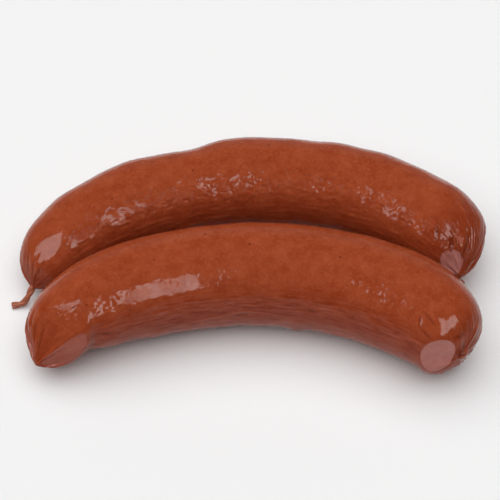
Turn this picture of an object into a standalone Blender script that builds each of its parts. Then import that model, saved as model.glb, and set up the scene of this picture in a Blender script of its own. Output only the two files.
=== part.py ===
"""A string of two smoked sausage links, lying side by side on their flattened undersides.

Each link is a casing filled with meat: a round tube that bends like a banana, closes to a puckered
tip at both ends, and rests on a narrow flat. The twisted casing between the links joins their right
tips, and the back link's left tip ends in a short free tail of twisted casing.
Lengths are in metres, +Z is up, and both links curl towards -Y.
"""

from dataclasses import dataclass
from math import radians

import bmesh
import bpy
import numpy as np
from mathutils import Vector

MM = 0.001

# The mesh of one link: faces around it, and bands of faces along it.
FACES_AROUND = 60
BANDS_ALONG = 46

# How far a link settles into the surface that it lies on, which gives its flat underside.
SETTLED = 0.7 * MM

# How far apart the low lumps of the filling lie, all along a link.
LUMP_LENGTH = 41 * MM

# The pleats of the casing, gathered at each tip.
PLEATS = 14
PLEAT_DEPTH = 0.9 * MM
PLEAT_REACH = 9 * MM

# The twisted casing.
TAIL_RADIUS = 0.65 * MM
TWIST_RADIUS = 0.85 * MM


@dataclass
class Dent:
    """A shallow hollow in a link's side, or a swelling where the depth is negative.

    The angle goes around the link in degrees: 0 is its outer side, 90 its top, 180 its inner side
    and 270 its underside. The slant moves the hollow along the link, in metres for each degree.
    """

    along: float
    angle: float
    depth: float
    reach_along: float
    reach_around: float
    slant: float = 0


@dataclass
class Flat:
    """A place near a tip where the skin was pressed flat against something while it was smoked.

    The end is -1 for the left half of a link and 1 for the right half. The plane is given by a
    point and the way that it faces, and the edge is how far the skin rounds over into it.
    """

    end: int
    point: tuple
    facing: tuple
    edge: float


@dataclass
class Link:
    """One sausage link, from its left tip to its right tip.

    Headings are in degrees to the left of +X. A tip is given by how far it lies to the outer side
    of the tube's axis, and by its height. The nose is how far the left tip is drawn out, and over
    what radius.
    """

    name: str
    middle: tuple
    length: float
    radius: float
    swell: float
    slimming: float
    left_heading: float
    middle_heading: float
    right_heading: float
    end_curl: float
    left_cap: float
    right_cap: float
    left_bluntness: float
    right_bluntness: float
    left_tip: tuple
    right_tip: tuple
    left_nose: tuple
    lump_height: float
    dents: tuple
    flats: tuple


FRONT = Link(
    name="link_front",
    middle=(0.8 * MM, -22.2 * MM),
    length=160.3 * MM,
    radius=17.4 * MM,
    swell=0.043,
    slimming=0.055,
    left_heading=45.5,
    middle_heading=0,
    right_heading=-51,
    end_curl=-10.4,
    left_cap=42 * MM,
    right_cap=36.3 * MM,
    left_bluntness=2.57,
    right_bluntness=2.9,
    left_tip=(-4.4 * MM, 9.8 * MM),
    right_tip=(-5.4 * MM, 17.8 * MM),
    left_nose=(1.6 * MM, 4.5 * MM),
    lump_height=0.06 * MM,
    dents=(
        Dent(17 * MM, 180, 1.8 * MM, 3.5 * MM, 42, slant=-0.15 * MM),
        Dent(19 * MM, 218, 2.2 * MM, 5.5 * MM, 36),
        Dent(30 * MM, 212, 1.2 * MM, 11 * MM, 45),
        Dent(10 * MM, 238, 1.3 * MM, 9 * MM, 38),
        Dent(157 * MM, 215, -3.2 * MM, 7 * MM, 60),
        Dent(152 * MM, 350, 1.3 * MM, 10 * MM, 50),
        Dent(157 * MM, 322, 2.2 * MM, 7 * MM, 24),
        Dent(97 * MM, 214, -0.5 * MM, 3 * MM, 15),
    ),
    flats=(
        Flat(-1, (-69.7 * MM, -53.8 * MM, 11.9 * MM), (-0.287, -0.69, 0.665), 1.2 * MM),
        Flat(-1, (-69.7 * MM, -53.8 * MM, 11.9 * MM), (0.008, -0.927, 0.375), 0.2 * MM),
        Flat(-1, (-69.7 * MM, -53.8 * MM, 11.9 * MM), (-0.82, -0.465, 0.335), 0.2 * MM),
        Flat(1, (60.9 * MM, -56.2 * MM, 20.7 * MM), (-0.08, -0.963, 0.257), 0.12 * MM),
    ),
)
BACK = Link(
    name="link_back",
    middle=(0.9 * MM, 17.9 * MM),
    length=175.9 * MM,
    radius=15.7 * MM,
    swell=0.069,
    slimming=0.091,
    left_heading=57.2,
    middle_heading=2.2,
    right_heading=-62.5,
    end_curl=-16.2,
    left_cap=30.3 * MM,
    right_cap=22.4 * MM,
    left_bluntness=2.36,
    right_bluntness=1.97,
    left_tip=(-1.1 * MM, 6.1 * MM),
    right_tip=(-5.8 * MM, 12.6 * MM),
    left_nose=(0, 1 * MM),
    lump_height=0.16 * MM,
    dents=(
        Dent(66 * MM, 40, 1.1 * MM, 9 * MM, 45),
        Dent(48 * MM, 36, -0.4 * MM, 9 * MM, 45),
        Dent(85 * MM, 38, -0.5 * MM, 9 * MM, 45),
        Dent(166 * MM, 20, -1.0 * MM, 5 * MM, 35),
    ),
    flats=(Flat(1, (67.1 * MM, -18.8 * MM, 19.2 * MM), (0.03, -0.905, 0.424), 0.15 * MM),),
)

# Control points of the twisted casings, each with its share of the strand's radius.
TAIL_ROUTE = (
    ((-72.9, -18.4, 6.6), 1.6),
    ((-74.2, -20.4, 5.9), 1.3),
    ((-75.5, -22.3, 4.4), 1.0),
    ((-76.5, -23.4, 2.4), 0.9),
    ((-78.4, -24.0, 1.1), 1.0),
    ((-81.2, -24.2, 1.0), 1.2),
)
TWIST_ROUTE = (
    ((71.7, -22.0, 12.4), 1.5),
    ((70.9, -23.3, 9.5), 1.1),
    ((69.8, -26.0, 3.5), 1.0),
    ((69.0, -30.0, 0.9), 1.0),
    ((69.5, -35.0, 1.2), 1.0),
    ((71.3, -39.6, 3.0), 1.0),
    ((73.6, -43.6, 5.4), 1.0),
    ((74.7, -47.7, 8.6), 1.0),
    ((74.3, -52.2, 12.9), 1.0),
    ((70.9, -56.2, 18.0), 1.2),
)


def headings(link, place):
    """The way the link points, in radians, from its left tip at -1 to its right tip at 1."""
    even = (link.left_heading + link.right_heading) / 2 - link.middle_heading
    odd = (link.right_heading - link.left_heading) / 2 - link.end_curl
    degrees = link.middle_heading + odd * place + even * place**2 + link.end_curl * place**3
    return np.radians(degrees)


def axis_in_plan(link, along, steps=400):
    """X, Y and heading of the tube's axis, at distances from the left tip."""
    place = np.linspace(-1, 1, steps + 1)
    turned = headings(link, place)
    step = link.length / steps
    between = (turned[1:] + turned[:-1]) / 2
    x = np.concatenate([[0], np.cumsum(np.cos(between) * step)])
    y = np.concatenate([[0], np.cumsum(np.sin(between) * step)])
    x += link.middle[0] - x[steps // 2]
    y += link.middle[1] - y[steps // 2]
    distances = (place + 1) / 2 * link.length
    return (np.interp(along, distances, line) for line in (x, y, turned))


def cap(distance, length, bluntness):
    """How the radius closes at a tip: 0 at the tip and 1 past the end cap."""
    inside = np.clip(distance / length, 0, 1)
    return (1 - (1 - inside) ** bluntness) ** (1 / bluntness)


def dent_depth(dent, along, angle):
    turn = np.degrees(angle) % 360 - dent.angle
    lengthwise = (along - dent.along - dent.slant * turn) / dent.reach_along
    sideways = 2 * (1 - np.cos(np.radians(turn))) / radians(dent.reach_around) ** 2
    return dent.depth * np.exp(-(lengthwise**2) - sideways)


def pleat_depth(from_tip, angle, turn):
    """Folds that run to a tip and fade out along the body."""
    wander = 0.5 * np.sin(3 * angle + turn) + 0.35 * np.sin(5 * angle + 2 * turn)
    fold = 0.5 + 0.5 * np.cos(PLEATS * angle + wander + turn)
    return PLEAT_DEPTH * fold * np.exp(-((from_tip / PLEAT_REACH) ** 2))


def lumps(along, angle):
    """The low unevenness of the filling, about 1 high at its highest."""
    turn = 2 * np.pi * along / LUMP_LENGTH
    long_lumps = np.sin(turn + 2 * np.sin(angle)) + 0.7 * np.sin(2.3 * turn - 2 * angle)
    return long_lumps + 0.5 * np.sin(3.1 * turn + 3 * angle + 1)


def press_flat(skin, flat, half):
    """Moves the skin that stands proud of a flat's plane back to it, on one half of the link."""
    facing = np.array(flat.facing)
    proud = (skin - np.array(flat.point)) @ facing
    pressed = (proud + np.sqrt(proud**2 + flat.edge**2)) / 2
    return skin - np.where(half * flat.end > 0.5, pressed, 0)[:, None] * facing


def skin_point(link, along, angle):
    """Points of the link's skin, at distances from the left tip and angles around the tube."""
    place = 2 * along / link.length - 1
    left_closing = cap(along, link.left_cap, link.left_bluntness)
    right_closing = cap(link.length - along, link.right_cap, link.right_bluntness)
    closing = left_closing * right_closing
    full_radius = link.radius * (1 + link.swell * place - link.slimming * place**2)

    relief = link.lump_height * lumps(along, angle)
    relief -= pleat_depth(along, angle, 0) + pleat_depth(link.length - along, angle, 1.3)
    for dent in link.dents:
        relief -= dent_depth(dent, along, angle)
    out = (full_radius + relief) * closing

    x, y, heading = axis_in_plan(link, along)
    nose, nose_radius = link.left_nose
    drawn_out = nose * np.exp(-out / nose_radius) * (place < 0)
    x -= drawn_out * np.cos(heading)
    y -= drawn_out * np.sin(heading)
    sideways = out * np.cos(angle)
    sideways += (1 - left_closing) * link.left_tip[0] + (1 - right_closing) * link.right_tip[0]
    height = full_radius - SETTLED
    height += (1 - left_closing) * (link.left_tip[1] - height)
    height += (1 - right_closing) * (link.right_tip[1] - height)
    skin = np.column_stack([
        x - sideways * np.sin(heading),
        y + sideways * np.cos(heading),
        height + out * np.sin(angle),
    ])
    for flat in link.flats:
        skin = press_flat(skin, flat, place)
    skin[:, 2] = np.maximum(skin[:, 2], 0)
    return skin


def new_material(name, colour, roughness):
    material = bpy.data.materials.new(name)
    material.use_nodes = True
    shader = material.node_tree.nodes["Principled BSDF"]
    shader.inputs["Base Color"].default_value = (*colour, 1)
    shader.inputs["Roughness"].default_value = roughness
    shader.inputs["Metallic"].default_value = 0
    return material


def new_solid(name, mesh, collection, material):
    mesh.name = name
    mesh.shade_smooth()
    mesh.materials.clear()
    mesh.materials.append(material)
    solid = bpy.data.objects.new(name, mesh)
    collection.objects.link(solid)
    return solid


def new_link(link, collection, material):
    """A sphere whose every point is moved to the same place on the link's skin."""
    ball = bmesh.new()
    bmesh.ops.create_uvsphere(ball, u_segments=FACES_AROUND, v_segments=BANDS_ALONG, radius=1)
    places = np.array([vertex.co for vertex in ball.verts])
    along = link.length * (1 - places[:, 2]) / 2
    angle = np.arctan2(places[:, 1], places[:, 0])
    for vertex, point in zip(ball.verts, skin_point(link, along, angle)):
        vertex.co = Vector(point)
    bmesh.ops.recalc_face_normals(ball, faces=ball.faces)
    mesh = bpy.data.meshes.new(link.name)
    ball.to_mesh(mesh)
    ball.free()
    return new_solid(link.name, mesh, collection, material)


def new_strand(name, route, radius, collection, material):
    """A strand of twisted casing: a bevelled curve with filled caps, made into a closed mesh."""
    curve = bpy.data.curves.new(name, "CURVE")
    curve.dimensions = "3D"
    curve.bevel_depth = radius
    curve.bevel_resolution = 2
    curve.use_fill_caps = True
    spline = curve.splines.new("NURBS")
    spline.points.add(len(route) - 1)
    for point, (place, thickness) in zip(spline.points, route):
        point.co = (*(Vector(place) * MM), 1)
        point.radius = thickness
    spline.use_endpoint_u = True
    spline.order_u = 4
    spline.resolution_u = 3
    guide = bpy.data.objects.new(name, curve)
    collection.objects.link(guide)
    bpy.context.view_layer.update()
    drawn = guide.evaluated_get(bpy.context.evaluated_depsgraph_get())
    mesh = bpy.data.meshes.new_from_object(drawn)
    bpy.data.objects.remove(guide)
    welded = bmesh.new()
    welded.from_mesh(mesh)
    bmesh.ops.remove_doubles(welded, verts=welded.verts, dist=0.00001)
    bmesh.ops.recalc_face_normals(welded, faces=welded.faces)
    welded.to_mesh(mesh)
    welded.free()
    return new_solid(name, mesh, collection, material)


def join(solid, addition):
    """Adds a helper's shape to a solid and leaves the helper as a wire guide."""
    addition.hide_render = True
    addition.display_type = "WIRE"
    union = solid.modifiers.new(addition.name, "BOOLEAN")
    union.operation = "UNION"
    union.solver = "EXACT"
    union.object = addition


def centre_on_footprint(solids):
    """Puts the middle of the whole string's footprint at the origin."""
    corners = np.array([vertex.co for solid in solids for vertex in solid.data.vertices])
    middle = (corners.min(axis=0) + corners.max(axis=0)) / 2
    for solid in solids:
        solid.location = (-middle[0], -middle[1], 0)


def main():
    for found in list(bpy.data.objects):
        bpy.data.objects.remove(found)
    string = bpy.data.collections.new("sausage_string")
    additions = bpy.data.collections.new("sausage_string_additions")
    for collection in (string, additions):
        bpy.context.scene.collection.children.link(collection)
    skin = new_material("smoked_casing", (0.31, 0.055, 0.020), 0.3)
    dried = new_material("dried_casing", (0.30, 0.075, 0.03), 0.5)

    front = new_link(FRONT, string, skin)
    back = new_link(BACK, string, skin)
    twist = new_strand("casing_twist", TWIST_ROUTE, TWIST_RADIUS, string, dried)
    tail = new_strand("tail", TAIL_ROUTE, TAIL_RADIUS, additions, skin)
    join(back, tail)
    centre_on_footprint([front, back, twist, tail])


main()
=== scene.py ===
# %% [markdown]
# # A string of smoked sausage links
# Two sausages in natural casing lie side by side. Meat that is pressed into a soft tube makes it round
# and full, the tube bends like a banana, and its two ends are gathered and tied.
# The CAD model gives the two filled forms. This script gives them their skin: pleats at the tied ends,
# fine wrinkles where the casing dried, gloss, and the mottled colour of smoked meat under it.

import bmesh
import bpy
import numpy as np
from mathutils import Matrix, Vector


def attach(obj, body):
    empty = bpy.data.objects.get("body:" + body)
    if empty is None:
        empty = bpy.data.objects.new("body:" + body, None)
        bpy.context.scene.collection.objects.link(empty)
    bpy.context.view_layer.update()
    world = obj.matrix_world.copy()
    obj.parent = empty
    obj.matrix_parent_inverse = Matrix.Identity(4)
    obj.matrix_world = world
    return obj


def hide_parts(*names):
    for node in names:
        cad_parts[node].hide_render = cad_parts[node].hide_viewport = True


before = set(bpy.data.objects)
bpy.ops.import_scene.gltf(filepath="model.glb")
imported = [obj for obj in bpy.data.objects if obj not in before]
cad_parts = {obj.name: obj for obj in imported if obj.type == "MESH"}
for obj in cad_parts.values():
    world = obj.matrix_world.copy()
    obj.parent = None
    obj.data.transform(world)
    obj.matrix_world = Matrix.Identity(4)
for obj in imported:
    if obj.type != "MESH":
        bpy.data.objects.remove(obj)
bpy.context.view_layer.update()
MM = 0.001
print("nodes:", sorted(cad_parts))

# %% [markdown]
# ## Camera
# The links are seen from 54 degrees above the table, from 60 cm away, as by someone who stands before
# it. A long lens keeps the near link from looking larger than the far one. The lens follows from the
# scale in the picture: 2852 pixels to the metre at the target, in a picture 500 pixels wide.

# %% Place the camera
TARGET = Vector((0.12 * MM, 11.96 * MM, 0))
ELEVATION = np.radians(54)
DISTANCE = 0.6
PIXELS_PER_METRE = 2852
PICTURE_WIDTH = 500
SENSOR_WIDTH = 36

camera_data = bpy.data.cameras.new("camera")
camera_data.sensor_width = SENSOR_WIDTH
camera_data.lens = SENSOR_WIDTH * PIXELS_PER_METRE * DISTANCE / PICTURE_WIDTH
camera = bpy.data.objects.new("camera", camera_data)
camera.location = TARGET + DISTANCE * Vector((0, -np.cos(ELEVATION), np.sin(ELEVATION)))
camera.rotation_euler = (np.pi / 2 - ELEVATION, 0, 0)
bpy.context.scene.collection.objects.link(camera)
bpy.context.scene.camera = camera
print("lens", round(camera_data.lens, 1), "mm")

# %% [markdown]
# ## One way to add a node
# Shapes and finishes below are both built from nodes. A single function adds a node to any tree: it
# sets the node's options, then gives each input a plain value or a link from another node.


# %% A helper that adds a node
def add(tree, kind, inputs=None, **options):
    node = tree.nodes.new(kind)
    for option, value in options.items():
        setattr(node, option, value)
    for socket, value in (inputs or {}).items():
        if isinstance(value, bpy.types.NodeSocket):
            tree.links.new(value, node.inputs[socket])
        elif isinstance(value, bpy.types.Node):
            tree.links.new(value.outputs[0], node.inputs[socket])
        else:
            node.inputs[socket].default_value = value
    return node


# %% [markdown]
# ## The filled casing
# A stuffed casing is a tube whose axis bends steadily, whose radius swells a little in the middle, and
# which closes over at both ends. A sphere stretched along a curve has that topology: rings around the
# axis, and one point at each tip. It could be sculpted, but a formula keeps the skin on the CAD form,
# because it takes the same lengths, radii and headings. Each point of the skin is found from its
# distance along the link and its angle around it: 0 is the outer side of the bend, 90 degrees the top,
# 180 the inner side and 270 the underside. Shallow hollows and swellings are pressed into it, and near
# the tips it is cut back to a few flats, where the link lay against something while it was smoked.

# %% The dimensions of the two links
# Lengths are in millimetres and angles in degrees. The values of a link say:
# - middle, length, headings, end_curl: where its axis runs, seen from above. The headings are those at
#   the left end, in the middle and at the right end, and the curl bends both ends a little more;
# - radius, swell, slimming: how thick it is, how much thicker to the right and thinner at both ends;
# - caps, bluntness: how far from each tip the end starts to close, and how squarely it does;
# - tips: each tip's shift to the side and its height. The nose draws the left tip out to a point;
# - lump_height: how high the low lumps of the filling stand;
# - dents: how far along and around, how deep (negative for a swelling), the reach along and around, and
#   how far the dent slants along for each degree around. A crease is a narrow dent, darkened with painted
#   shade;
# - slack, slack_places: how loose the casing is all over, and where it is looser or tighter than that;
# - streaks: 1 where the low side of the inner flank gets pale painted reflection and dark painted shade in
#   streaks;
# - flats: -1 for the left end or 1 for the right, a point of the flat's plane, the way that it faces,
#   how softly the skin rounds over into it, and how strong a pale painted reflection of the table is on it.
FRONT = dict(
    name="link_front_skin", middle=(0.92, -10.24), length=160.3, radius=17.4, swell=0.043, slimming=0.055,
    headings=(45.5, 0, -51), end_curl=-10.4, caps=(42, 36.3), bluntness=(2.57, 2.9),
    tips=((-4.4, 9.8), (-5.4, 17.8)), nose=(1.6, 4.5), lump_height=0.06,
    dents=(
        (17, 180, 1.3, 3.5, 42, -0.15), (19, 218, 2.2, 5.5, 36, 0), (30, 212, 1.2, 11, 45, 0),
        (18.6, 190, 0.9, 1.6, 45, -0.03), (10, 238, 1.3, 9, 38, 0), (157, 215, -3.2, 7, 60, 0),
        (152, 350, 1.3, 10, 50, 0), (157, 322, 2.2, 7, 24, 0), (97, 214, -0.5, 3, 15, 0),
        (159.5, 325, -3.2, 3.5, 40, 0),
    ),
    creases=(
        (146.9, 122, 0.12, 1.2, 2.6, 0.96), (144.2, 130.5, 0.25, 0.5, 5, 0.13),
        (148.6, 140, 0.3, 1.4, 2.5, 0.95), (23.4, 163, 0.2, 1.6, 3, 0.44),
        (75.7, 175.5, 0.2, 1.4, 2.5, -0.78), (102.7, 162.5, 0.2, 1.8, 2, 0.3),
        (158, 106, 0.3, 0.5, 10, -0.04),
    ),
    slack=0.12, streaks=1,
    slack_places=(
        (10, 100, 7, 25, 0.5), (30, 126, 7, 26, 0.6), (48, 122, 15, 26, 0.2), (124, 113, 9, 24, 0.9),
        (136, 122, 7, 22, 0.3), (148, 112, 9, 30, -0.3),
    ),
    flats=(
        (-1, (-69.6, -41.8, 11.9), (-0.287, -0.69, 0.665), 1.2, 0),
        (-1, (-69.6, -41.8, 11.9), (0.008, -0.927, 0.375), 0.2, 0.35),
        (-1, (-69.6, -41.8, 11.9), (-0.82, -0.465, 0.335), 0.2, 0.35),
        (1, (61.0, -44.2, 20.7), (-0.08, -0.963, 0.257), 0.12, 1),
    ),
)
BACK = dict(
    name="link_back_skin", middle=(1.02, 29.86), length=175.9, radius=15.7, swell=0.069, slimming=0.091,
    headings=(57.2, 2.2, -62.5), end_curl=-16.2, caps=(30.3, 22.4), bluntness=(2.36, 1.97),
    tips=((-1.1, 6.1), (-5.8, 12.6)), nose=(0, 1), lump_height=0.16,
    dents=(
        (66, 40, 1.1, 9, 45, 0), (48, 36, -0.4, 9, 45, 0), (85, 38, -0.5, 9, 45, 0),
        (166, 20, -1.0, 5, 35, 0),
    ),
    creases=(
        (169.2, 120, 0.5, 0.7, 18, 0.21), (172, 92, 0.5, 0.7, 18, 0.13), (162, 122, 0.3, 0.6, 8, 0.25),
    ),
    slack=0.2, streaks=0,
    slack_places=(
        (40, 126, 60, 26, 0.75), (110, 126, 60, 28, 0.75), (165, 106, 7, 30, 0.5),
        (11, 112, 6, 30, -0.75),
    ),
    flats=(
        (1, (67.2, -6.5, 19.05), (0.03, -0.905, 0.424), 0.15, 1),
        (-1, (-68.8, -2.9, 20.2), (-0.249, -0.561, 0.789), 0.3, 0),
    ),
)
# How far a link settles into the table, which flattens its underside, and how far apart its lumps lie.
SETTLED = 0.7
LUMP_LENGTH = 41


# %% Where the axis of a link runs, seen from above
def axis_in_plan(link, along, steps=400):
    left, middle, right = link["headings"]
    place = np.linspace(-1, 1, steps + 1)
    even = (left + right) / 2 - middle
    odd = (right - left) / 2 - link["end_curl"]
    turned = np.radians(middle + odd * place + even * place**2 + link["end_curl"] * place**3)
    step = link["length"] / steps
    between = (turned[1:] + turned[:-1]) / 2
    x = np.concatenate([[0], np.cumsum(np.cos(between) * step)])
    y = np.concatenate([[0], np.cumsum(np.sin(between) * step)])
    x += link["middle"][0] - x[steps // 2]
    y += link["middle"][1] - y[steps // 2]
    distances = (place + 1) / 2 * link["length"]
    return (np.interp(along, distances, line) for line in (x, y, turned))


# %% How the ends close, and how a dent presses the skin in
def cap(distance, length, bluntness):
    inside = np.clip(distance / length, 0, 1)
    return (1 - (1 - inside) ** bluntness) ** (1 / bluntness)


def dent_depth(dent, along, angle):
    at, around, depth, reach_along, reach_around, slant = dent
    turn = np.degrees(angle) % 360 - around
    lengthwise = (along - at - slant * turn) / reach_along
    sideways = 2 * (1 - np.cos(np.radians(turn))) / np.radians(reach_around) ** 2
    return depth * np.exp(-(lengthwise**2) - sideways)


# %% How high the lumps stand, and how deep the dents are
# Three waves of unequal lengths make lumps that don't repeat along a link.
def relief_of_filling(link, along, angle):
    turn = 2 * np.pi * along / LUMP_LENGTH
    lumps = np.sin(turn + 2 * np.sin(angle)) + 0.7 * np.sin(2.3 * turn - 2 * angle)
    relief = link["lump_height"] * (lumps + 0.5 * np.sin(3.1 * turn + 3 * angle + 1))
    for dent in link["dents"] + link["creases"]:
        relief = relief - dent_depth(dent, along, angle)
    return relief


# %% How the skin is pressed back to the flats, and how much painted reflection it gets there
# A flat works only on the outer quarter of the link at its own end. What stands proud of its plane goes
# back by a soft maximum of that distance and 0, which rounds the edge of the flat.
def press_flats(link, points, place):
    painted_reflection = np.zeros(len(points))
    for end, centre, normal, edge, reflection_strength in link["flats"]:
        proud = (points - np.array(centre)) @ np.array(normal)
        pressed = np.where(place * end > 0.5, (proud + np.sqrt(proud**2 + edge**2)) / 2, 0)
        points -= pressed[:, None] * np.array(normal)
        # Where the skin is pressed well back to a flat, a pale painted reflection of the table is laid on
        # it.
        painted_reflection = np.maximum(painted_reflection, reflection_strength * np.clip(pressed / edge - 0.5, 0, 1))
    return points, painted_reflection


# %% Points of the filled casing, in millimetres
def filled_casing(link, along, angle):
    place = 2 * along / link["length"] - 1
    left_closing = cap(along, link["caps"][0], link["bluntness"][0])
    right_closing = cap(link["length"] - along, link["caps"][1], link["bluntness"][1])
    full_radius = link["radius"] * (1 + link["swell"] * place - link["slimming"] * place**2)
    out = (full_radius + relief_of_filling(link, along, angle)) * left_closing * right_closing
    (left_side, left_height), (right_side, right_height) = link["tips"]
    x, y, heading = axis_in_plan(link, along)
    nose = link["nose"][0] * np.exp(-out / link["nose"][1]) * (place < 0)
    x = x - nose * np.cos(heading)
    y = y - nose * np.sin(heading)
    sideways = out * np.cos(angle) + (1 - left_closing) * left_side + (1 - right_closing) * right_side
    height = full_radius - SETTLED
    height = height + (1 - left_closing) * (left_height - height)
    height = height + (1 - right_closing) * (right_height - height)
    points = np.column_stack([
        x - sideways * np.sin(heading),
        y + sideways * np.cos(heading),
        height + out * np.sin(angle),
    ])
    return press_flats(link, points, place)


# %% [markdown]
# ## The mesh of a link
# The rings stand closer together near the tips, where the pleats are, and one point closes each tip.
# Each point keeps in attributes how far it is from both tips and around, and what the casing is like
# there, so that nodes can lay folds and colours along the skin later.

# %% How many rings, and the faces between them
RINGS = 370
AROUND = 258
# The rings crowd together over this share of half a link, down to this share of the full step.
CAP_SHARE = 0.3
CLOSEST = 0.004


def faces_of_rings():
    faces = []
    for here in range(0, (RINGS - 1) * AROUND, AROUND):
        there = here + AROUND
        for k in range(AROUND):
            after = (k + 1) % AROUND
            faces.append((here + k, here + after, there + after, there + k))
    left_tip, right_tip, last = RINGS * AROUND, RINGS * AROUND + 1, (RINGS - 1) * AROUND
    for k in range(AROUND):
        after = (k + 1) % AROUND
        faces.append((left_tip, after, k))
        faces.append((right_tip, last + k, last + after))
    return faces


# %% What the casing is like at each point
# The painted streaks of reflection and shade lie around 205 degrees, the low side of the inner flank.
STREAK_SIDE = np.radians(205)


def casing_state(link, along, angle):
    from_right = link["length"] - along
    closing = cap(along, link["caps"][0], link["bluntness"][0])
    closing = closing * cap(from_right, link["caps"][1], link["bluntness"][1])
    slack = link["slack"] + sum(
        share * dent_depth((at, around, 1, reach_along, reach_around, 0), along, angle)
        for at, around, reach_along, reach_around, share in link["slack_places"]
    )
    # Where the creases lie, for the painted shade in them.
    crease = sum(dent_depth(crease, along, angle) / crease[2] for crease in link["creases"])
    low_side = np.clip((np.cos(angle - STREAK_SIDE) - 0.3) / 0.45, 0, 1)
    return {
        "from_left": along, "from_right": from_right, "angle": angle, "closing": closing,
        "slack": np.clip(slack, 0, 1), "crease": np.clip(crease, 0, 1),
        "streaks": link["streaks"] * low_side,
    }


# %% A link's mesh, with what each point keeps
def link_mesh(link):
    crowding = np.clip((1 - np.abs(np.linspace(-1, 1, RINGS + 1))) / CAP_SHARE, CLOSEST, 1)
    ring_place = np.cumsum(crowding)[:-1] / np.sum(crowding)
    ring_angle = np.linspace(0, 2 * np.pi, AROUND, endpoint=False)
    along = np.concatenate([np.repeat(ring_place, AROUND), [0, 1]]) * link["length"]
    angle = np.concatenate([np.tile(ring_angle, RINGS), [0, 0]])
    points, painted_reflection = filled_casing(link, along, angle)
    points[:, 2] = np.maximum(points[:, 2], 0)
    mesh = bpy.data.meshes.new(link["name"])
    mesh.from_pydata([Vector(point) * MM for point in points], [], faces_of_rings())
    for name, values in {**casing_state(link, along, angle), "painted_reflection": painted_reflection}.items():
        layer = mesh.attributes.new(name, "FLOAT", "POINT")
        layer.data.foreach_set("value", values.astype(np.float32))
    facing = bmesh.new()
    facing.from_mesh(mesh)
    bmesh.ops.recalc_face_normals(facing, faces=facing.faces)
    facing.to_mesh(mesh)
    facing.free()
    mesh.shade_smooth()
    return mesh


# %% [markdown]
# ## Folds that follow the skin
# Gathered casing folds into ridges with sharp valleys between them. The ridges run along the link and
# differ in width. The edges between Voronoi cells have that pattern once the cells are stretched
# along the link. The cells are laid on a circle around the axis, so the pattern closes without a seam.
# The same group makes the coarse pleats at the tips and the fine wrinkles on the flanks.

# %% A node group for folds
folds = bpy.data.node_groups.new("casing_folds", "GeometryNodeTree")
for name in ("Folds around", "Fold length", "Valley width", "Seed"):
    folds.interface.new_socket(name, in_out="INPUT", socket_type="NodeSocketFloat")
folds.interface.new_socket("Valley", in_out="OUTPUT", socket_type="NodeSocketFloat")
given = add(folds, "NodeGroupInput")
angle = add(folds, "GeometryNodeInputNamedAttribute", {"Name": "angle"}, data_type="FLOAT")
along = add(folds, "GeometryNodeInputNamedAttribute", {"Name": "from_left"}, data_type="FLOAT")
circle = add(folds, "ShaderNodeMath", {0: given.outputs["Folds around"], 1: 2 * np.pi}, operation="DIVIDE")
cosine = add(folds, "ShaderNodeMath", {0: angle}, operation="COSINE")
sine = add(folds, "ShaderNodeMath", {0: angle}, operation="SINE")
across_x = add(folds, "ShaderNodeMath", {0: cosine, 1: circle}, operation="MULTIPLY")
across_y = add(folds, "ShaderNodeMath", {0: sine, 1: circle}, operation="MULTIPLY")
lengthwise = add(folds, "ShaderNodeMath", {0: along, 1: given.outputs["Fold length"]}, operation="DIVIDE")
spot = add(folds, "ShaderNodeCombineXYZ", {0: across_x, 1: across_y, 2: lengthwise})
cells = add(
    folds, "ShaderNodeTexVoronoi",
    {"Vector": spot, "W": given.outputs["Seed"], "Scale": 1, "Randomness": 0.9},
    voronoi_dimensions="4D", feature="DISTANCE_TO_EDGE",
)
valley = add(
    folds, "ShaderNodeMapRange",
    {"Value": cells.outputs["Distance"], "From Min": 0, "From Max": given.outputs["Valley width"],
     "To Min": 1, "To Max": 0},
    interpolation_type="SMOOTHSTEP",
)
add(folds, "NodeGroupOutput", {"Valley": valley.outputs["Result"]})
print("folds group:", len(folds.nodes), "nodes")

# %% [markdown]
# ## The tree that gives a link its skin
# It presses the folds into the filled casing along the surface's own direction. Pleats fade with the
# distance from each tip, wrinkles lie on the inner flank, the underside and where the right end is
# gathered, and a fine crinkle covers the places where the casing is slack: it breaks the reflection of
# a lamp into small flecks. They could be painted as bumps, but real relief also shows in the outline.
# At the end the underside is kept flat on the table.

# %% Named inputs of the skin tree, in millimetres
skin_tree = bpy.data.node_groups.new("sausage_skin", "GeometryNodeTree")
skin_tree.interface.new_socket("Geometry", in_out="INPUT", socket_type="NodeSocketGeometry")
SKIN_INPUTS = (
    "Pleats", "Pleat depth", "Left reach", "Right reach", "Wrinkles", "Wrinkle depth", "Right gather",
    "Gather strength", "Crinkle size", "Crinkle depth", "Seed",
)
for name in SKIN_INPUTS:
    skin_tree.interface.new_socket(name, in_out="INPUT", socket_type="NodeSocketFloat")
skin_tree.interface.new_socket("Skin", in_out="INPUT", socket_type="NodeSocketMaterial")
skin_tree.interface.new_socket("Geometry", in_out="OUTPUT", socket_type="NodeSocketGeometry")
skin_in = add(skin_tree, "NodeGroupInput").outputs
from_left = add(skin_tree, "GeometryNodeInputNamedAttribute", {"Name": "from_left"}, data_type="FLOAT")
from_right = add(skin_tree, "GeometryNodeInputNamedAttribute", {"Name": "from_right"}, data_type="FLOAT")
around = add(skin_tree, "GeometryNodeInputNamedAttribute", {"Name": "angle"}, data_type="FLOAT")
closing = add(skin_tree, "GeometryNodeInputNamedAttribute", {"Name": "closing"}, data_type="FLOAT")

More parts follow.
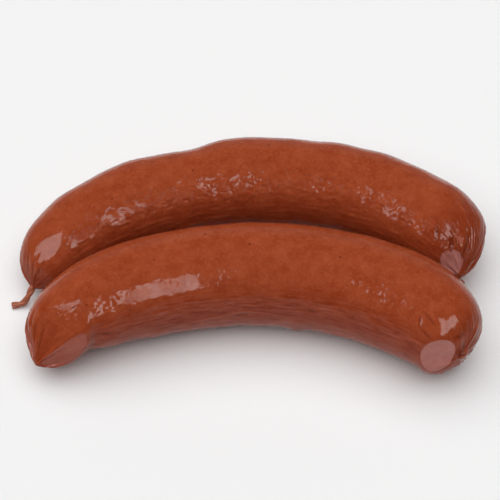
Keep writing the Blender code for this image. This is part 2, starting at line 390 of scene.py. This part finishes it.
# %% Pleats, deepest at the tips
pleats = add(
    skin_tree, "GeometryNodeGroup", node_tree=folds,
    inputs={"Folds around": skin_in["Pleats"], "Fold length": 14, "Valley width": 0.36,
            "Seed": skin_in["Seed"]},
)
near_left = add(
    skin_tree, "ShaderNodeMapRange", interpolation_type="SMOOTHSTEP",
    inputs={"Value": from_left, "From Min": 0, "From Max": skin_in["Left reach"],
            "To Min": 1, "To Max": 0},
)
near_right = add(
    skin_tree, "ShaderNodeMapRange", interpolation_type="SMOOTHSTEP",
    inputs={"Value": from_right, "From Min": 0, "From Max": skin_in["Right reach"],
            "To Min": 1, "To Max": 0},
)
near_tip = add(skin_tree, "ShaderNodeMath", {0: near_left, 1: near_right}, operation="ADD")
pleat_share = add(skin_tree, "ShaderNodeMath", {0: pleats, 1: near_tip}, operation="MULTIPLY")
pleat_fall = add(
    skin_tree, "ShaderNodeMath", {0: pleat_share, 1: skin_in["Pleat depth"]}, operation="MULTIPLY"
)

# %% Fine wrinkles on the inner flank, the underside and the gathered right end
wrinkles = add(
    skin_tree, "GeometryNodeGroup", node_tree=folds,
    inputs={"Folds around": skin_in["Wrinkles"], "Fold length": 15, "Valley width": 0.5, "Seed": 7.3},
)

# %% Where they lie: around 215 degrees, which is low on the inner flank, and fully up to 3 mm from the tip
FLANK_SIDE = np.radians(215)
FULLY_GATHERED = 3
from_flank = add(skin_tree, "ShaderNodeMath", {0: around, 1: FLANK_SIDE}, operation="SUBTRACT")
flank_side = add(skin_tree, "ShaderNodeMath", {0: from_flank}, operation="COSINE")
flank = add(
    skin_tree, "ShaderNodeMapRange", interpolation_type="SMOOTHSTEP",
    inputs={"Value": flank_side, "From Min": 0.1, "From Max": 0.7, "To Min": 0, "To Max": 1},
)
gathered = add(
    skin_tree, "ShaderNodeMapRange", interpolation_type="SMOOTHSTEP",
    inputs={"Value": from_right, "From Min": FULLY_GATHERED, "From Max": skin_in["Right gather"],
            "To Min": skin_in["Gather strength"], "To Max": 0},
)
wrinkled = add(skin_tree, "ShaderNodeMath", {0: flank, 1: gathered}, operation="MAXIMUM")
wrinkle_share = add(skin_tree, "ShaderNodeMath", {0: wrinkles, 1: wrinkled}, operation="MULTIPLY")
wrinkle_fall = add(
    skin_tree, "ShaderNodeMath", {0: wrinkle_share, 1: skin_in["Wrinkle depth"]}, operation="MULTIPLY"
)

# %% A fine crinkle where the casing is slack
PER_METRE = 1000
place = add(skin_tree, "GeometryNodeInputPosition")
crinkle_scale = add(
    skin_tree, "ShaderNodeMath", {0: PER_METRE, 1: skin_in["Crinkle size"]}, operation="DIVIDE"
)
crinkle = add(
    skin_tree, "ShaderNodeTexNoise", noise_dimensions="4D",
    inputs={"Vector": place, "W": skin_in["Seed"], "Scale": crinkle_scale, "Detail": 3, "Roughness": 0.55,
            "Distortion": 1.2},
)
loose = add(skin_tree, "GeometryNodeInputNamedAttribute", {"Name": "slack"}, data_type="FLOAT")
crinkle_rise = add(skin_tree, "ShaderNodeMath", {0: crinkle, 1: 0.5}, operation="SUBTRACT")
crinkle_share = add(skin_tree, "ShaderNodeMath", {0: crinkle_rise, 1: loose}, operation="MULTIPLY")
crinkle_height = add(
    skin_tree, "ShaderNodeMath", {0: crinkle_share, 1: skin_in["Crinkle depth"]}, operation="MULTIPLY"
)

# %% Press them in along the surface's direction, less and less towards the very tip
fall = add(skin_tree, "ShaderNodeMath", {0: pleat_fall, 1: wrinkle_fall}, operation="ADD")
relief = add(skin_tree, "ShaderNodeMath", {0: crinkle_height, 1: fall}, operation="SUBTRACT")
open_part = add(
    skin_tree, "ShaderNodeMapRange", interpolation_type="SMOOTHSTEP",
    inputs={"Value": closing, "From Min": 0.02, "From Max": 0.25, "To Min": 0, "To Max": MM},
)
relief_in_metres = add(skin_tree, "ShaderNodeMath", {0: relief, 1: open_part}, operation="MULTIPLY")
outward = add(skin_tree, "GeometryNodeInputNormal")
offset = add(
    skin_tree, "ShaderNodeVectorMath", {0: outward, "Scale": relief_in_metres}, operation="SCALE"
)
pressed = add(skin_tree, "GeometryNodeSetPosition", {"Geometry": skin_in["Geometry"], "Offset": offset})

# %% Keep the underside flat, note where the folds are for their painted shade, and give the material
corner = add(skin_tree, "ShaderNodeSeparateXYZ", {0: add(skin_tree, "GeometryNodeInputPosition")})
above_table = add(skin_tree, "ShaderNodeMath", {0: corner.outputs["Z"], 1: 0}, operation="MAXIMUM")
flat_place = add(
    skin_tree, "ShaderNodeCombineXYZ", {0: corner.outputs["X"], 1: corner.outputs["Y"], 2: above_table}
)
rested = add(skin_tree, "GeometryNodeSetPosition", {"Geometry": pressed, "Position": flat_place})
# Where the folds lie is kept so that their valleys can be darkened with painted shade.
fold_shade = add(
    skin_tree, "ShaderNodeMath", {0: wrinkle_share, 1: pleat_share}, operation="MAXIMUM", use_clamp=True
)
marked = add(
    skin_tree, "GeometryNodeStoreNamedAttribute", {"Geometry": rested, "Name": "fold_shade", "Value": fold_shade},
    data_type="FLOAT", domain="POINT",
)
whole = add(skin_tree, "GeometryNodeRealizeInstances", {"Geometry": marked})
clad = add(skin_tree, "GeometryNodeSetMaterial", {"Geometry": whole, "Material": skin_in["Skin"]})
add(skin_tree, "NodeGroupOutput", {"Geometry": clad})
print("skin tree:", len(skin_tree.nodes), "nodes")

# %% [markdown]
# ## From a tree to a plain mesh
# A Geometry Nodes modifier is live: the export would drop parts of it. So each piece's result is read
# once from the evaluated object and stored as a plain mesh, and the modifier goes.


# %% A helper that runs a tree on a mesh or curve
def grow(name, start, tree, values):
    source = bpy.data.objects.new(name + "_start", start)
    bpy.context.scene.collection.objects.link(source)
    growth = source.modifiers.new(tree.name, "NODES")
    growth.node_group = tree
    for socket in tree.interface.items_tree:
        if socket.in_out == "INPUT" and socket.name in values:
            growth[socket.identifier] = values[socket.name]
    graph = bpy.context.evaluated_depsgraph_get()
    mesh = bpy.data.meshes.new_from_object(source.evaluated_get(graph))
    bpy.data.objects.remove(source)
    mesh.name = name
    mesh.shade_smooth()
    piece = bpy.data.objects.new(name, mesh)
    bpy.context.scene.collection.objects.link(piece)
    mesh.calc_loop_triangles()
    print(name, "has", len(mesh.loop_triangles), "triangles")
    return piece


# %% [markdown]
# ## Colours
# The colours are written as they look on a screen, in sRGB hex, and turned to the linear values that
# the shader works with.


# %% A helper that turns a hex colour to linear
def linear(hex_colour):
    shares = [int(hex_colour[k : k + 2], 16) / 255 for k in (1, 3, 5)]
    return (*[s / 12.92 if s <= 0.04045 else ((s + 0.055) / 1.055) ** 2.4 for s in shares], 1)


# %% [markdown]
# ## Smoked natural casing
# The casing is a thin, clear collagen film over fine meat emulsion, stuffed, scalded and smoked. Smoke
# tans it red-brown. Its colour is cloudy over a few millimetres, has a fine grain of fat below 1 mm,
# and a few dark specks of spice. Noise gives clouds and grain, and the middles of some Voronoi cells
# give the specks. All of them read Object coordinates, so they go through the skin without a seam.

# %% Material: smoked natural casing, first the meat behind it
smoked = bpy.data.materials.new("smoked_natural_casing")
smoked.use_nodes = True
tree = smoked.node_tree
shader = tree.nodes["Principled BSDF"]
where = add(tree, "ShaderNodeTexCoord").outputs["Object"]
CLOUD_SIZE = 5
clouds = add(
    tree, "ShaderNodeTexNoise",
    {"Vector": where, "Scale": PER_METRE / CLOUD_SIZE, "Detail": 4, "Roughness": 0.65},
)
cloud_share = add(tree, "ShaderNodeMapRange", {"Value": clouds, "From Min": 0.33, "From Max": 0.67})
meat = add(
    tree, "ShaderNodeMix", data_type="RGBA",
    inputs={"Factor": cloud_share, 6: linear("#8F3A1D"), 7: linear("#9F492B")},
)
# The grain of fat is 0.5 to 0.8 mm in the real meat, and is drawn at 1 mm so that it shows.
GRAIN_SIZE = 1
grain = add(
    tree, "ShaderNodeTexNoise",
    {"Vector": where, "Scale": PER_METRE / GRAIN_SIZE, "Detail": 2, "Roughness": 0.6},
)
grain_share = add(
    tree, "ShaderNodeMapRange",
    {"Value": grain, "From Min": 0.5, "From Max": 0.75, "To Min": 0, "To Max": 0.35},
)
SPECK_SPACING = 5
specks = add(tree, "ShaderNodeTexVoronoi", {"Vector": where, "Scale": PER_METRE / SPECK_SPACING})
speck_core = add(
    tree, "ShaderNodeMapRange", interpolation_type="SMOOTHSTEP",
    inputs={"Value": specks.outputs["Distance"], "From Min": 0.04, "From Max": 0.09,
            "To Min": 1, "To Max": 0},
)
speck_pick = add(tree, "ShaderNodeMath", {0: specks.outputs["Color"], 1: 0.62}, operation="GREATER_THAN")
speck_share = add(tree, "ShaderNodeMath", {0: speck_core, 1: speck_pick}, operation="MULTIPLY")

# %% [markdown]
# ## Painted reflection and painted shade on the casing
# On the low side of the front link's inner flank, where the skin mirrors the table, pale streaks of painted
# reflection and dark streaks of painted shade run along the link. They follow the skin, so they read the
# distance and the angle that each point keeps. Folds and creases are darkened with painted shade. On the
# flats, where the skin is pressed back, a pale painted reflection of the table is laid on it.

# %% Streaks of painted reflection and painted shade, about 1 mm across and 7 mm long
STREAKS_PER_RADIAN = 20
STREAK_LENGTH = 7
turn = add(tree, "ShaderNodeAttribute", attribute_name="angle").outputs["Fac"]
from_left_tip = add(tree, "ShaderNodeAttribute", attribute_name="from_left").outputs["Fac"]
turn_cosine = add(tree, "ShaderNodeMath", {0: turn}, operation="COSINE")
turn_sine = add(tree, "ShaderNodeMath", {0: turn}, operation="SINE")
turn_x = add(tree, "ShaderNodeMath", {0: turn_cosine, 1: STREAKS_PER_RADIAN}, operation="MULTIPLY")
turn_y = add(tree, "ShaderNodeMath", {0: turn_sine, 1: STREAKS_PER_RADIAN}, operation="MULTIPLY")
run = add(tree, "ShaderNodeMath", {0: from_left_tip, 1: STREAK_LENGTH}, operation="DIVIDE")
streak_spot = add(tree, "ShaderNodeCombineXYZ", {0: turn_x, 1: turn_y, 2: run})
streak_noise = add(
    tree, "ShaderNodeTexNoise",
    {"Vector": streak_spot, "Scale": 1, "Detail": 3, "Roughness": 0.6, "Distortion": 0.4},
)
pale_streak = add(
    tree, "ShaderNodeMapRange",
    {"Value": streak_noise, "From Min": 0.5, "From Max": 0.64, "To Min": 0, "To Max": 0.6},
)
dark_streak = add(
    tree, "ShaderNodeMapRange",
    {"Value": streak_noise, "From Min": 0.36, "From Max": 0.48, "To Min": 0.65, "To Max": 0},
)
streaky = add(tree, "ShaderNodeAttribute", attribute_name="streaks").outputs["Fac"]
# The pale streaks are a painted reflection of the table, the dark ones painted shade in the wrinkles.
painted_reflection_streak = add(tree, "ShaderNodeMath", {0: pale_streak, 1: streaky}, operation="MULTIPLY")
painted_shade_streak = add(tree, "ShaderNodeMath", {0: dark_streak, 1: streaky}, operation="MULTIPLY")

# %% How much painted shade the folds and creases get, and how much painted reflection the flats get
# Fold valleys are darkened: painted shade.
shaded_folds = add(tree, "ShaderNodeAttribute", attribute_name="fold_shade")
fold_shade_share = add(tree, "ShaderNodeMath", {0: shaded_folds.outputs["Fac"], 1: 0.45}, operation="MULTIPLY")
# Creases are darkened more strongly: painted shade.
crease_shade = add(tree, "ShaderNodeAttribute", attribute_name="crease")
crease_shade_share = add(tree, "ShaderNodeMath", {0: crease_shade.outputs["Fac"], 1: 0.55}, operation="MULTIPLY")
# The pale painted reflection of the table on the flats, mottled by the clouds.
reflection_mark = add(tree, "ShaderNodeAttribute", attribute_name="painted_reflection")
reflection_mottle = add(
    tree, "ShaderNodeMapRange",
    {"Value": clouds, "From Min": 0.35, "From Max": 0.65, "To Min": 0.68, "To Max": 0.9},
)
painted_reflection_share = add(tree, "ShaderNodeMath", {0: reflection_mark.outputs["Fac"], 1: reflection_mottle}, operation="MULTIPLY")

# %% Lay each of them over the meat, from the deepest to the outermost
skin_colour = meat.outputs[2]
# Grain and specks are the meat's own; the streaks, folds, creases and flats are painted reflection and
# painted shade.
for share, hex_colour in (
    (grain_share, "#B0603A"), (speck_share, "#4E1A0E"), (painted_reflection_streak, "#A05C50"), (painted_shade_streak, "#6E2010"),
    (fold_shade_share, "#7A2A12"), (crease_shade_share, "#4E1408"), (painted_reflection_share, "#B87A72"),
):
    layer = add(
        tree, "ShaderNodeMix", data_type="RGBA",
        inputs={"Factor": share, 6: skin_colour, 7: linear(hex_colour)},
    )
    skin_colour = layer.outputs[2]
tree.links.new(skin_colour, shader.inputs["Base Color"])

# %% [markdown]
# ## The gloss of moist casing
# Fat and brine leave the casing moist, so it mirrors lamps as crisply as varnish: its roughness is only
# about 0.1. Collagen has an IOR of 1.45 and water one of 1.33, but the film is uneven, so it mirrors
# less, and 1.25 matches. Where the casing is slack the film dries off in patches and mirrors little.
# The meat behind it scatters red light, which a little subsurface gives.

# %% Gloss, dry patches, a fine bump and the glow of the meat
GLOSS_SIZE = 4
DRY_PATCH_SIZE = 9
FILM_SIZE = 1.6
dulled = add(tree, "ShaderNodeTexNoise", {"Vector": where, "Scale": PER_METRE / GLOSS_SIZE, "Detail": 2})
gloss = add(
    tree, "ShaderNodeMapRange",
    {"Value": dulled, "From Min": 0.3, "From Max": 0.7, "To Min": 0.06, "To Max": 0.11},
)
tree.links.new(gloss.outputs[0], shader.inputs["Roughness"])
slack_here = add(tree, "ShaderNodeAttribute", attribute_name="slack").outputs["Fac"]
dry_patches = add(
    tree, "ShaderNodeTexNoise",
    {"Vector": where, "Scale": PER_METRE / DRY_PATCH_SIZE, "Detail": 2, "Roughness": 0.6},
)
dry_patch = add(
    tree, "ShaderNodeMapRange", interpolation_type="SMOOTHSTEP",
    inputs={"Value": dry_patches, "From Min": 0.45, "From Max": 0.52, "To Min": 0, "To Max": 1.2},
)
dry_share = add(
    tree, "ShaderNodeMath", {0: dry_patch, 1: slack_here}, operation="MULTIPLY", use_clamp=True
)
sheen = add(tree, "ShaderNodeMapRange", {"Value": dry_share, "To Min": 0.5, "To Max": 0.06})
tree.links.new(sheen.outputs[0], shader.inputs["Specular IOR Level"])
film = add(
    tree, "ShaderNodeTexNoise",
    {"Vector": where, "Scale": PER_METRE / FILM_SIZE, "Detail": 2, "Roughness": 0.5, "Distortion": 0.6},
)
bump = add(tree, "ShaderNodeBump", {"Height": film, "Strength": 0.5, "Distance": 0.06 * MM})
tree.links.new(bump.outputs["Normal"], shader.inputs["Normal"])
shader.inputs["IOR"].default_value = 1.25
shader.inputs["Subsurface Weight"].default_value = 0.15
shader.inputs["Subsurface Radius"].default_value = (1, 0.3, 0.12)
shader.inputs["Subsurface Scale"].default_value = 1.2 * MM
print("smoked casing:", len(tree.nodes), "nodes")

# %% [markdown]
# ## Grow the two skins
# The back link has a slacker casing than the front one, so its crinkle is coarser and deeper. Its right
# end is the most gathered: pleats and wrinkles reach furthest there, and the wrinkles are strongest.

# %% The two links
shared = {"Skin": smoked, "Pleats": 16.0, "Pleat depth": 0.7, "Wrinkles": 70.0, "Wrinkle depth": 0.2}
front = grow("link_front_skin", link_mesh(FRONT), skin_tree, {
    **shared, "Left reach": 11.0, "Right reach": 8.0, "Right gather": 10.0, "Gather strength": 1.0,
    "Crinkle size": 1.6, "Crinkle depth": 1.0, "Seed": 3.0,
})
back = grow("link_back_skin", link_mesh(BACK), skin_tree, {
    **shared, "Left reach": 7.0, "Right reach": 15.0, "Right gather": 24.0, "Gather strength": 2.6,
    "Crinkle size": 2.0, "Crinkle depth": 1.4, "Seed": 11.0,
})
for piece, node in ((front, "link_front"), (back, "link_back")):
    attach(piece, "root")
    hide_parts(node)

# %% [markdown]
# ## Twisted casing
# Where links are parted or a casing ends, it is spun into a tight cord. It dries first, because there
# is no meat in it, so it is stiffer than the skin, and paler unless it is still damp. A cord is plies
# wound around a path. It could be one tube with a twisted bump, but plies give its outline the twist:
# the tree copies the guide curve once for each ply, turns each copy around it, and gives it a round
# section. The curve's own radius makes the winding wider or tighter on the way.

# %% A tree that winds plies around a curve
cord_tree = bpy.data.node_groups.new("twisted_casing", "GeometryNodeTree")
cord_tree.interface.new_socket("Geometry", in_out="INPUT", socket_type="NodeSocketGeometry")
cord_tree.interface.new_socket("Plies", in_out="INPUT", socket_type="NodeSocketInt")
for name in ("Ply radius", "Winding radius", "Pitch", "Dampness"):
    cord_tree.interface.new_socket(name, in_out="INPUT", socket_type="NodeSocketFloat")
cord_tree.interface.new_socket("Casing", in_out="INPUT", socket_type="NodeSocketMaterial")
cord_tree.interface.new_socket("Geometry", in_out="OUTPUT", socket_type="NodeSocketGeometry")
cord_in = add(cord_tree, "NodeGroupInput").outputs
STEP = 0.3 * MM
steps = add(
    cord_tree, "GeometryNodeResampleCurve", {"Curve": cord_in["Geometry"], "Length": STEP}, mode="LENGTH"
)
plies = add(
    cord_tree, "GeometryNodeDuplicateElements", domain="SPLINE",
    inputs={"Geometry": steps, "Amount": cord_in["Plies"]},
)

# %% Turn each copy around the curve, by its distance along and its share of a full turn
run = add(cord_tree, "GeometryNodeSplineParameter")
turns = add(
    cord_tree, "ShaderNodeMath", {0: run.outputs["Length"], 1: cord_in["Pitch"]}, operation="DIVIDE"
)
ply_share = add(
    cord_tree, "ShaderNodeMath", operation="DIVIDE",
    inputs={0: plies.outputs["Duplicate Index"], 1: cord_in["Plies"]},
)
all_turns = add(cord_tree, "ShaderNodeMath", {0: turns, 1: ply_share}, operation="ADD")
wound = add(cord_tree, "ShaderNodeMath", {0: all_turns, 1: 2 * np.pi}, operation="MULTIPLY")
tangent = add(cord_tree, "GeometryNodeInputTangent")
side = add(cord_tree, "GeometryNodeInputNormal")
winding = add(
    cord_tree, "ShaderNodeVectorRotate", rotation_type="AXIS_ANGLE",
    inputs={"Vector": side, "Axis": tangent, "Angle": wound},
)
thickness = add(cord_tree, "GeometryNodeInputRadius")
reach = add(cord_tree, "ShaderNodeMath", {0: thickness, 1: cord_in["Winding radius"]}, operation="MULTIPLY")
sidestep = add(cord_tree, "ShaderNodeVectorMath", {0: winding, "Scale": reach}, operation="SCALE")
laid = add(cord_tree, "GeometryNodeSetPosition", {"Geometry": plies, "Offset": sidestep})

# %% Give the plies a round section, their dampness and the material
section = add(
    cord_tree, "GeometryNodeCurvePrimitiveCircle", {"Resolution": 10, "Radius": cord_in["Ply radius"]}
)
tubes = add(
    cord_tree, "GeometryNodeCurveToMesh", {"Curve": laid, "Profile Curve": section, "Fill Caps": True}
)
moistened = add(
    cord_tree, "GeometryNodeStoreNamedAttribute", data_type="FLOAT", domain="POINT",
    inputs={"Geometry": tubes, "Name": "damp", "Value": cord_in["Dampness"]},
)
cord_whole = add(cord_tree, "GeometryNodeRealizeInstances", {"Geometry": moistened})
cord_clad = add(
    cord_tree, "GeometryNodeSetMaterial", {"Geometry": cord_whole, "Material": cord_in["Casing"]}
)
add(cord_tree, "NodeGroupOutput", {"Geometry": cord_clad})
print("cord tree:", len(cord_tree.nodes), "nodes")

# %% [markdown]
# ## Dried casing
# Spun casing dries to a parchment of collagen fibres, pale orange-brown and only half glossy. Where it
# stays damp it is dark red and shinier. Each cord says in an attribute how damp it is, and one material
# mixes the two. The fibres are 0.1 mm across in the real gut, and are drawn at 1.2 mm so that they show.

# %% Material: dried casing
FIBRE_SIZE = 1.2
dried = bpy.data.materials.new("dried_casing")
dried.use_nodes = True
tree = dried.node_tree
shader = tree.nodes["Principled BSDF"]
where = add(tree, "ShaderNodeTexCoord").outputs["Object"]
fibres = add(tree, "ShaderNodeTexNoise", {"Vector": where, "Scale": PER_METRE / FIBRE_SIZE, "Detail": 3})
dry_colour = add(
    tree, "ShaderNodeMix", data_type="RGBA",
    inputs={"Factor": fibres, 6: linear("#B4582F"), 7: linear("#E09A6E")},
)
damp_colour = add(
    tree, "ShaderNodeMix", data_type="RGBA",
    inputs={"Factor": fibres, 6: linear("#6E2410"), 7: linear("#A5502F")},
)
damp = add(tree, "ShaderNodeAttribute", attribute_name="damp")
cord_colour = add(
    tree, "ShaderNodeMix", data_type="RGBA",
    inputs={"Factor": damp.outputs["Fac"], 6: dry_colour.outputs[2], 7: damp_colour.outputs[2]},
)
tree.links.new(cord_colour.outputs[2], shader.inputs["Base Color"])
dullness = add(tree, "ShaderNodeMapRange", {"Value": damp.outputs["Fac"], "To Min": 0.42, "To Max": 0.2})
tree.links.new(dullness.outputs[0], shader.inputs["Roughness"])
shader.inputs["IOR"].default_value = 1.45
shader.inputs["Subsurface Weight"].default_value = 0.2
shader.inputs["Subsurface Radius"].default_value = (1, 0.4, 0.2)
shader.inputs["Subsurface Scale"].default_value = 0.6 * MM
print("dried casing:", len(tree.nodes), "nodes")


# %% A guide curve through points, each with its share of the cord's thickness
def guide_curve(name, route):
    curve = bpy.data.curves.new(name, "CURVE")
    curve.dimensions = "3D"
    line = curve.splines.new("NURBS")
    line.points.add(len(route) - 1)
    for point, (place, thickness) in zip(line.points, route):
        point.co = (*(Vector(place) * MM), 1)
        point.radius = thickness
    line.use_endpoint_u = True
    line.order_u = 4
    line.resolution_u = 12
    return curve


# %% [markdown]
# ## The tail and the twist
# The back link's left tip ends in a short free tail, which bends down and rests on the table. A thinner,
# damper twist joins the two right tips: it runs down from the back link's tip, along the table under
# the front link's flank, and up to the front link's tip, where it thickens into a knot.

# %% The free tail at the back link's left tip, and the twist that joins the right tips
TAIL_ROUTE = (
    ((-72.8, -6.4, 6.6), 1.6), ((-74.1, -8.4, 5.9), 1.3), ((-75.4, -10.3, 4.4), 1.0),
    ((-76.4, -11.4, 2.4), 0.9), ((-78.3, -12.0, 1.1), 1.0), ((-81.1, -12.2, 1.0), 1.2),
)
TWIST_ROUTE = (
    ((71.8, -10.0, 12.4), 1.5), ((71.0, -11.3, 9.5), 1.1), ((69.9, -14.0, 3.5), 1.0),
    ((69.1, -18.0, 0.9), 1.0), ((69.2, -24.0, 0.9), 1.0), ((69.6, -30.0, 1.4), 1.0),
    ((70.5, -35.6, 3.2), 1.0), ((70.0, -38.0, 6.4), 1.0), ((68.9, -39.8, 11.0), 0.9),
    ((68.2, -43.0, 16.4), 1.5), ((68.4, -44.1, 18.4), 1.8), ((69.5, -43.6, 21.4), 1.8),
)
cord_sizes = {
    "Plies": 2, "Ply radius": 0.85 * MM, "Winding radius": 0.3 * MM, "Pitch": 8 * MM, "Dampness": 0.75,
    "Casing": dried,
}
tail = grow("casing_tail", guide_curve("tail_route", TAIL_ROUTE), cord_tree, cord_sizes)
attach(tail, "root")
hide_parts("link_back")
twist_sizes = {**cord_sizes, "Ply radius": 0.6 * MM, "Winding radius": 0.26 * MM, "Dampness": 1.0}
twist = grow("casing_twist_plies", guide_curve("twist_route", TWIST_ROUTE), cord_tree, twist_sizes)
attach(twist, "root")
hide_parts("casing_twist")

# %% [markdown]
# ## Floor, wall and lights
# The table is plain and pale. The low side of a skin mirrors it as a pale band with a crisp upper edge,
# so the room above the horizon has to be dark. Three softboxes hang in front, one to the left and two
# to the right: their reflections are the bright patches and flecks. A dim wall behind gives the soft
# sheen along the top edges. A soft sun, kept out of the reflections, lights table and meat.

# %% The table
# It reaches far to the front and the sides, but ends soon behind the links. The room takes over there,
# in the same tone, so that the top edges of the skins mirror less of a bright table behind them.
REACH = 9
BACK_EDGE = 0.17
floor_mesh = bpy.data.meshes.new("floor")
floor_mesh.from_pydata(
    [(-REACH, -REACH, 0), (REACH, -REACH, 0), (REACH, BACK_EDGE, 0), (-REACH, BACK_EDGE, 0)],
    [], [(0, 1, 2, 3)],
)
floor = bpy.data.objects.new("floor", floor_mesh)
bpy.context.scene.collection.objects.link(floor)
paint = bpy.data.materials.new("pale_table")
paint.use_nodes = True
paint.node_tree.nodes["Principled BSDF"].inputs["Base Color"].default_value = linear("#EFEFEF")
paint.node_tree.nodes["Principled BSDF"].inputs["Roughness"].default_value = 0.9
paint.node_tree.nodes["Principled BSDF"].inputs["Specular IOR Level"].default_value = 0
floor_mesh.materials.append(paint)


# %% Three upright softboxes, given by the directions that they fill as seen from the links
# The skins mirror them, but they light nothing, so that each highlight can be set on its own.
def softbox(name, azimuths, elevations, radiance, distance=0.6):
    turn = np.radians(sum(azimuths) / 2)
    width = 2 * distance * np.tan(np.radians(azimuths[1] - azimuths[0]) / 2)
    bottom, top = (distance * np.tan(np.radians(elevation)) for elevation in elevations)
    data = bpy.data.lights.new(name, "AREA")
    data.shape = "RECTANGLE"
    data.size = width
    data.size_y = top - bottom
    data.energy = radiance * np.pi * width * (top - bottom)
    lamp = bpy.data.objects.new(name, data)
    outward = Vector((np.sin(turn), -np.cos(turn), 0))
    lamp.location = TARGET + distance * outward + Vector((0, 0, (bottom + top) / 2))
    lamp.rotation_euler = outward.to_track_quat("Z", "Y").to_euler()
    lamp.visible_diffuse = False
    bpy.context.scene.collection.objects.link(lamp)
    print(name, "is", round(width, 2), "by", round(top - bottom, 2), "m")


softbox("right_softbox", azimuths=(6, 28), elevations=(30, 65), radiance=9.4)
softbox("side_softbox", azimuths=(30, 70), elevations=(34, 60), radiance=9.4)
softbox("left_softbox", azimuths=(-60, -41), elevations=(28, 65), radiance=8.2)

# %% A soft sun that no skin mirrors
sun_data = bpy.data.lights.new("soft_sun", "SUN")
sun_data.energy = 3.15
sun_data.angle = np.radians(90)
sun = bpy.data.objects.new("soft_sun", sun_data)
sun.rotation_euler = (np.radians(1), np.radians(-8), 0)
sun.visible_glossy = False
bpy.context.scene.collection.objects.link(sun)

# %% The room: white below the horizon, a dim wall behind, dark elsewhere
# Y points to the back and Z up. Towards the back the white starts lower, where the table ends.
WALL_LIGHT = 0.3
DARK_LIGHT = 0.03
TABLE_TONE = 0.91
room = bpy.data.worlds.new("room")
bpy.context.scene.world = room
room.use_nodes = True
tree = room.node_tree
tree.nodes.clear()
way = add(tree, "ShaderNodeSeparateXYZ", {0: add(tree, "ShaderNodeTexCoord").outputs["Generated"]})
edge = add(
    tree, "ShaderNodeMapRange", {"Value": way.outputs["Y"], "From Min": 0, "From Max": 0.3, "To Max": 0.36}
)
past_edge = add(tree, "ShaderNodeMath", {0: way.outputs["Z"], 1: edge}, operation="ADD")
below = add(tree, "ShaderNodeMapRange", {"Value": past_edge, "From Min": 0, "From Max": -0.01})
low = add(
    tree, "ShaderNodeMapRange",
    {"Value": way.outputs["Z"], "From Min": 0.38, "From Max": 0.5, "To Min": 1, "To Max": 0},
)
behind = add(tree, "ShaderNodeMapRange", {"Value": way.outputs["Y"], "From Min": 0.2, "From Max": 0.4})
wall = add(tree, "ShaderNodeMath", {0: low, 1: behind}, operation="MULTIPLY")
wall_light = add(tree, "ShaderNodeMapRange", {"Value": wall, "To Min": DARK_LIGHT, "To Max": WALL_LIGHT})
room_light = add(tree, "ShaderNodeMath", {0: below, 1: wall_light}, operation="MAXIMUM")
seen = add(tree, "ShaderNodeLightPath").outputs["Is Camera Ray"]
seen_light = add(tree, "ShaderNodeMath", {0: seen, 1: TABLE_TONE}, operation="MULTIPLY")
shown_light = add(tree, "ShaderNodeMath", {0: room_light, 1: seen_light}, operation="MAXIMUM")
background = add(tree, "ShaderNodeBackground", {"Color": (1, 1, 1, 1), "Strength": shown_light})
add(tree, "ShaderNodeOutputWorld", {"Surface": background})
bpy.context.scene.view_settings.view_transform = "Standard"
